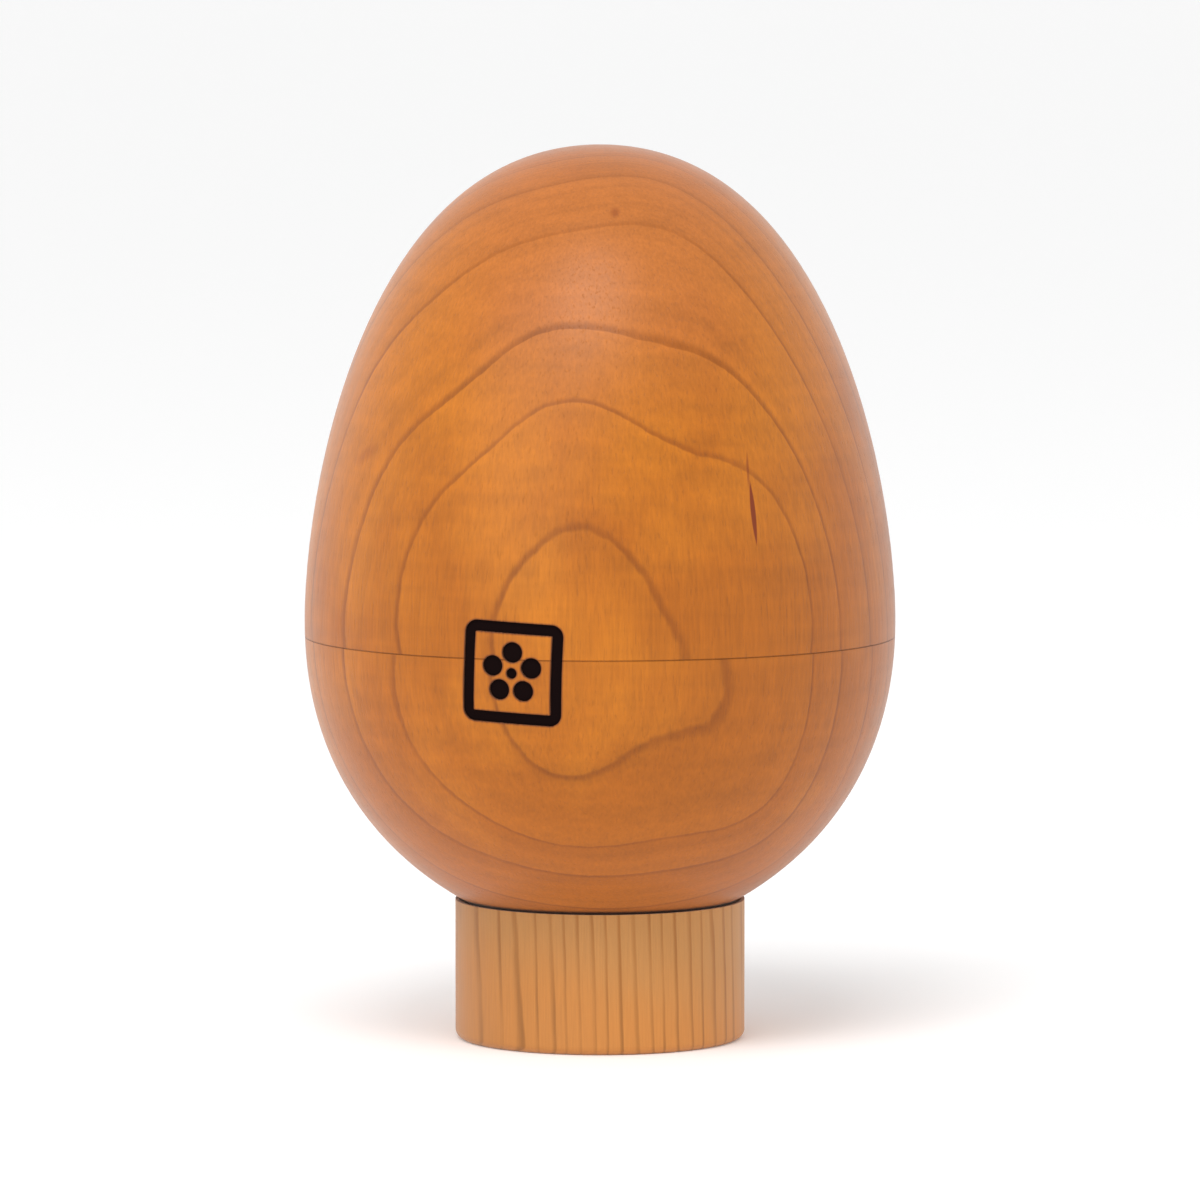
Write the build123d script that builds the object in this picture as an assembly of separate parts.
"""Egg kokeshi: a turned wooden egg that opens at a spigot joint and stands on a dished block, with a small
two-piece doll inside. Millimetres, +Z up. The origin is the centre of the stand's underside, and the side of
the egg with the burned seal faces -Y."""

import math
import os

from build123d import *

# Stand: a short turned block whose dished top takes the blunt end of the egg.
stand_diameter = 33.4
stand_height = 16.1
stand_foot_round = 1.0
stand_rim_width = 0.4
seat_clearance = 0.25

# Egg: its outline is two cubic curves that meet upright at the belly and lie level at both ends.
egg_diameter = 68.0
blunt_length = 36.7  # from the belly down to the blunt end
crown_length = 54.8  # from the belly up to the crown
blunt_end_fullness = 0.31  # how far each curve's handle reaches, as a share of its own radius or length
blunt_side_fullness = 0.746
crown_side_fullness = 0.268
crown_end_fullness = 0.806

# Hollow and joint: the lower half carries a spigot, and the upper half slides down over it.
belly_wall = 5.0
blunt_wall = 5.0
crown_wall = 6.0
floor_wall = 8.4
seam_below_belly = 1.6
spigot_height = 6.0
spigot_wall = 2.5
joint_lead = 0.4
joint_clearance = 0.05
joint_end_gap = 0.3
seam_ease = 0.08

# Burned seal across the seam: a rounded square frame round a five-petalled blossom.
seal_size = 11.4
seal_corner = 1.4
seal_line = 1.25
seal_depth = 0.25
seal_turn = 16.9  # degrees round the egg, from -Y towards -X
seal_below_seam = 1.5
seal_tilt = 2.9
petal_count = 5
petal_radius = 1.15
petal_ring_radius = 2.35
blossom_eye_radius = 0.6

# Doll's body: a slight waist and a rounded shoulder.
doll_foot_diameter = 21.0
doll_waist_diameter = 18.0
doll_shoulder_diameter = 22.0
doll_neck_diameter = 11.0
doll_body_height = 34.0
doll_waist_height = 16.0
doll_shoulder_height = 27.0
doll_foot_round = 0.6
doll_foot_slope = (-1, 0, 5)  # the way the side leaves the foot, narrowing as it rises
doll_neck_slope = (-3, 0, 1)  # the way the shoulder comes in to the neck

# Doll's head, which turns in the body on a snap-in tenon.
head_diameter = 24.0
head_height = 20.5
head_widest_height = 10.5
tenon_diameter = 7.0
tenon_length = 6.5
tenon_lead = 0.5
tenon_clearance = 0.05
tenon_end_gap = 0.4
snap_bead = 0.35
snap_bead_length = 1.8
snap_bead_slope = 0.6  # height of the bead's upper and lower slopes
snap_bead_height = 0.8  # from the tenon's tip to the bead's lower end

egg_radius = egg_diameter / 2
stand_radius = stand_diameter / 2
QUARTER_ROUND = 0.5523  # handle share that makes a cubic curve a quarter of a circle or an ellipse


def blunt_curve(radius, length, belly):
    """Lower half of an egg's outline, from the blunt end on the axis up to the belly."""
    low = belly - length
    return Bezier(
        (0, 0, low),
        (blunt_end_fullness * radius, 0, low),
        (radius, 0, belly - blunt_side_fullness * length),
        (radius, 0, belly),
    )


def crown_curve(radius, length, belly):
    """Upper half of an egg's outline, from the belly up to the crown on the axis."""
    high = belly + length
    return Bezier(
        (radius, 0, belly),
        (radius, 0, belly + crown_side_fullness * length),
        (crown_end_fullness * radius, 0, high),
        (0, 0, high),
    )


def rise_at_radius(curve, radius):
    """How far a blunt curve has risen above its lowest point where it reaches this radius."""
    near, far = 0.0, 1.0
    while far - near > 1e-9:
        middle = (near + far) / 2
        if (curve @ middle).X < radius:
            near = middle
        else:
            far = middle
    return (curve @ near).Z - (curve @ 0).Z


# The egg stands as deep in the dish as the rim's width allows.
seat_curve = blunt_curve(egg_radius + seat_clearance, blunt_length + seat_clearance, 0)
seat_rise = rise_at_radius(seat_curve, stand_radius - stand_rim_width)
egg_bottom_z = stand_height - seat_rise + seat_clearance
belly_z = egg_bottom_z + blunt_length
seam_z = belly_z - seam_below_belly
floor_z = egg_bottom_z + floor_wall
neck_z = floor_z + doll_body_height
spigot_radius = egg_radius - belly_wall + spigot_wall


def turned(*edges):
    """A solid turned about the Z axis from a closed outline in the XZ plane."""
    return revolve(make_face(edges), Axis.Z)


def ring(*outline):
    """A solid turned about the Z axis from corner points (radius, height)."""
    corners = [(radius, 0, height) for radius, height in outline]
    return turned(*Polyline(*corners, close=True).edges())


def disc(radius, low, high):
    """An upright cylinder on the Z axis between two heights."""
    return Pos(0, 0, low) * Cylinder(radius, high - low, align=(Align.CENTER, Align.CENTER, Align.MIN))


def top_edge(solid):
    """The edges at a solid's greatest height."""
    return solid.edges().group_by(Axis.Z)[-1]


def bottom_edge(solid):
    """The edges at a solid's least height."""
    return solid.edges().group_by(Axis.Z)[0]


def egg(side=0.0, crown=0.0, blunt=0.0):
    """The egg as a solid, grown by these amounts at the belly, the crown and the blunt end."""
    lower = blunt_curve(egg_radius + side, blunt_length + blunt, belly_z)
    upper = crown_curve(egg_radius + side, crown_length + crown, belly_z)
    return turned(lower, upper, Line(upper @ 1, lower @ 0))


def hollow():
    """The space inside the closed egg, with a level floor."""
    return split(egg(-belly_wall, -crown_wall, -blunt_wall), Plane.XY.offset(floor_z), keep=Keep.TOP)


def seal_outline():
    """The seal's burned lines, flat, with its middle at the origin."""
    inner_size = seal_size - 2 * seal_line
    frame = RectangleRounded(seal_size, seal_size, seal_corner)
    frame -= RectangleRounded(inner_size, inner_size, seal_corner - seal_line)
    petals = PolarLocations(petal_ring_radius, petal_count, start_angle=90)
    return frame + petals * Circle(petal_radius) + Circle(blossom_eye_radius)


def seal_cut():
    """What the hot stamp takes from the egg's surface."""
    turn = math.radians(seal_turn)
    stamp_plane = Plane(
        origin=(0, 0, seam_z - seal_below_seam),
        x_dir=(math.cos(turn), -math.sin(turn), 0),
        z_dir=(-math.sin(turn), -math.cos(turn), 0),
    )
    stamp = stamp_plane * Rot(0, 0, -seal_tilt) * seal_outline()
    skin = egg(seal_depth, seal_depth, seal_depth) - egg(-seal_depth, -seal_depth, -seal_depth)
    return extrude(stamp, egg_diameter, dir=stamp_plane.z_dir) & skin


def make_stand():
    """The block, with its foot rounded over and its top dished to the egg's curve."""
    block = disc(stand_radius, 0, stand_height)
    block = fillet(bottom_edge(block), stand_foot_round)
    return block - egg(seat_clearance, seat_clearance, seat_clearance)


def make_egg_lower():
    """The lower half, with the spigot standing up from its seam face."""
    cup = split(egg(), Plane.XY.offset(seam_z), keep=Keep.BOTTOM)
    cup = chamfer(top_edge(cup), seam_ease)
    spigot = disc(spigot_radius, seam_z - spigot_height, seam_z + spigot_height)
    spigot = chamfer(top_edge(spigot), joint_lead)
    return cup + spigot - hollow() - seal_cut()


def make_egg_upper():
    """The upper half, counterbored to slide over the spigot."""
    cap = split(egg(), Plane.XY.offset(seam_z), keep=Keep.TOP)
    cap = chamfer(bottom_edge(cap), seam_ease)
    bore_radius = spigot_radius + joint_clearance
    bore = disc(bore_radius, seam_z - spigot_height, seam_z + spigot_height + joint_end_gap)
    lead_top_z = seam_z + joint_lead
    lead = ring((0, seam_z), (bore_radius + joint_lead, seam_z), (bore_radius, lead_top_z), (0, lead_top_z))
    return cap - bore - lead - hollow() - seal_cut()


def tenon(clearance, end_gap):
    """The head's tenon with its snap bead; grown by a clearance, it is the socket in the body."""
    radius = tenon_diameter / 2 + clearance
    bead_radius = radius + snap_bead
    tip_z = neck_z - tenon_length - end_gap
    bead_low_z = neck_z - tenon_length + snap_bead_height - clearance
    bead_top_z = bead_low_z + snap_bead_length + 2 * clearance
    return ring(
        (0, tip_z),
        (radius - tenon_lead, tip_z),
        (radius, tip_z + tenon_lead),
        (radius, bead_low_z),
        (bead_radius, bead_low_z + snap_bead_slope),
        (bead_radius, bead_top_z - snap_bead_slope),
        (radius, bead_top_z),
        (radius, neck_z),
        (0, neck_z),
    )


def make_doll_body():
    """The body, turned with a waist and a shoulder, and bored for the head's tenon."""
    foot_radius = doll_foot_diameter / 2
    neck_radius = doll_neck_diameter / 2
    side = Spline(
        (foot_radius, 0, floor_z),
        (doll_waist_diameter / 2, 0, floor_z + doll_waist_height),
        (doll_shoulder_diameter / 2, 0, floor_z + doll_shoulder_height),
        (neck_radius, 0, neck_z),
        tangents=[doll_foot_slope, (0, 0, 1), (0, 0, 1), doll_neck_slope],
    )
    foot = Line((0, 0, floor_z), side @ 0)
    top = Line(side @ 1, (0, 0, neck_z))
    body = turned(foot, side, top, Line(top @ 1, foot @ 0))
    body = fillet(bottom_edge(body), doll_foot_round)
    return body - tenon(tenon_clearance, tenon_end_gap)


def make_doll_head():
    """The head, a little wider than it is tall, with its tenon below."""
    neck_radius = doll_neck_diameter / 2
    radius = head_diameter / 2
    widest_z = neck_z + head_widest_height
    top_z = neck_z + head_height
    jaw = Bezier(
        (neck_radius, 0, neck_z),
        (neck_radius + QUARTER_ROUND * (radius - neck_radius), 0, neck_z),
        (radius, 0, widest_z - QUARTER_ROUND * head_widest_height),
        (radius, 0, widest_z),
    )
    scalp = Bezier(
        (radius, 0, widest_z),
        (radius, 0, widest_z + QUARTER_ROUND * (head_height - head_widest_height)),
        (QUARTER_ROUND * radius, 0, top_z),
        (0, 0, top_z),
    )
    base = Line((0, 0, neck_z), jaw @ 0)
    return turned(base, jaw, scalp, Line(scalp @ 1, base @ 0)) + tenon(0, 0)


def main():
    """Write each piece to its own file."""
    os.makedirs("parts", exist_ok=True)
    export_step(make_stand(), "parts/stand.step")
    export_step(make_egg_lower(), "parts/egg_lower.step")
    export_step(make_egg_upper(), "parts/egg_upper.step")
    export_step(make_doll_body(), "parts/doll_body.step")
    export_step(make_doll_head(), "parts/doll_head.step")


main()
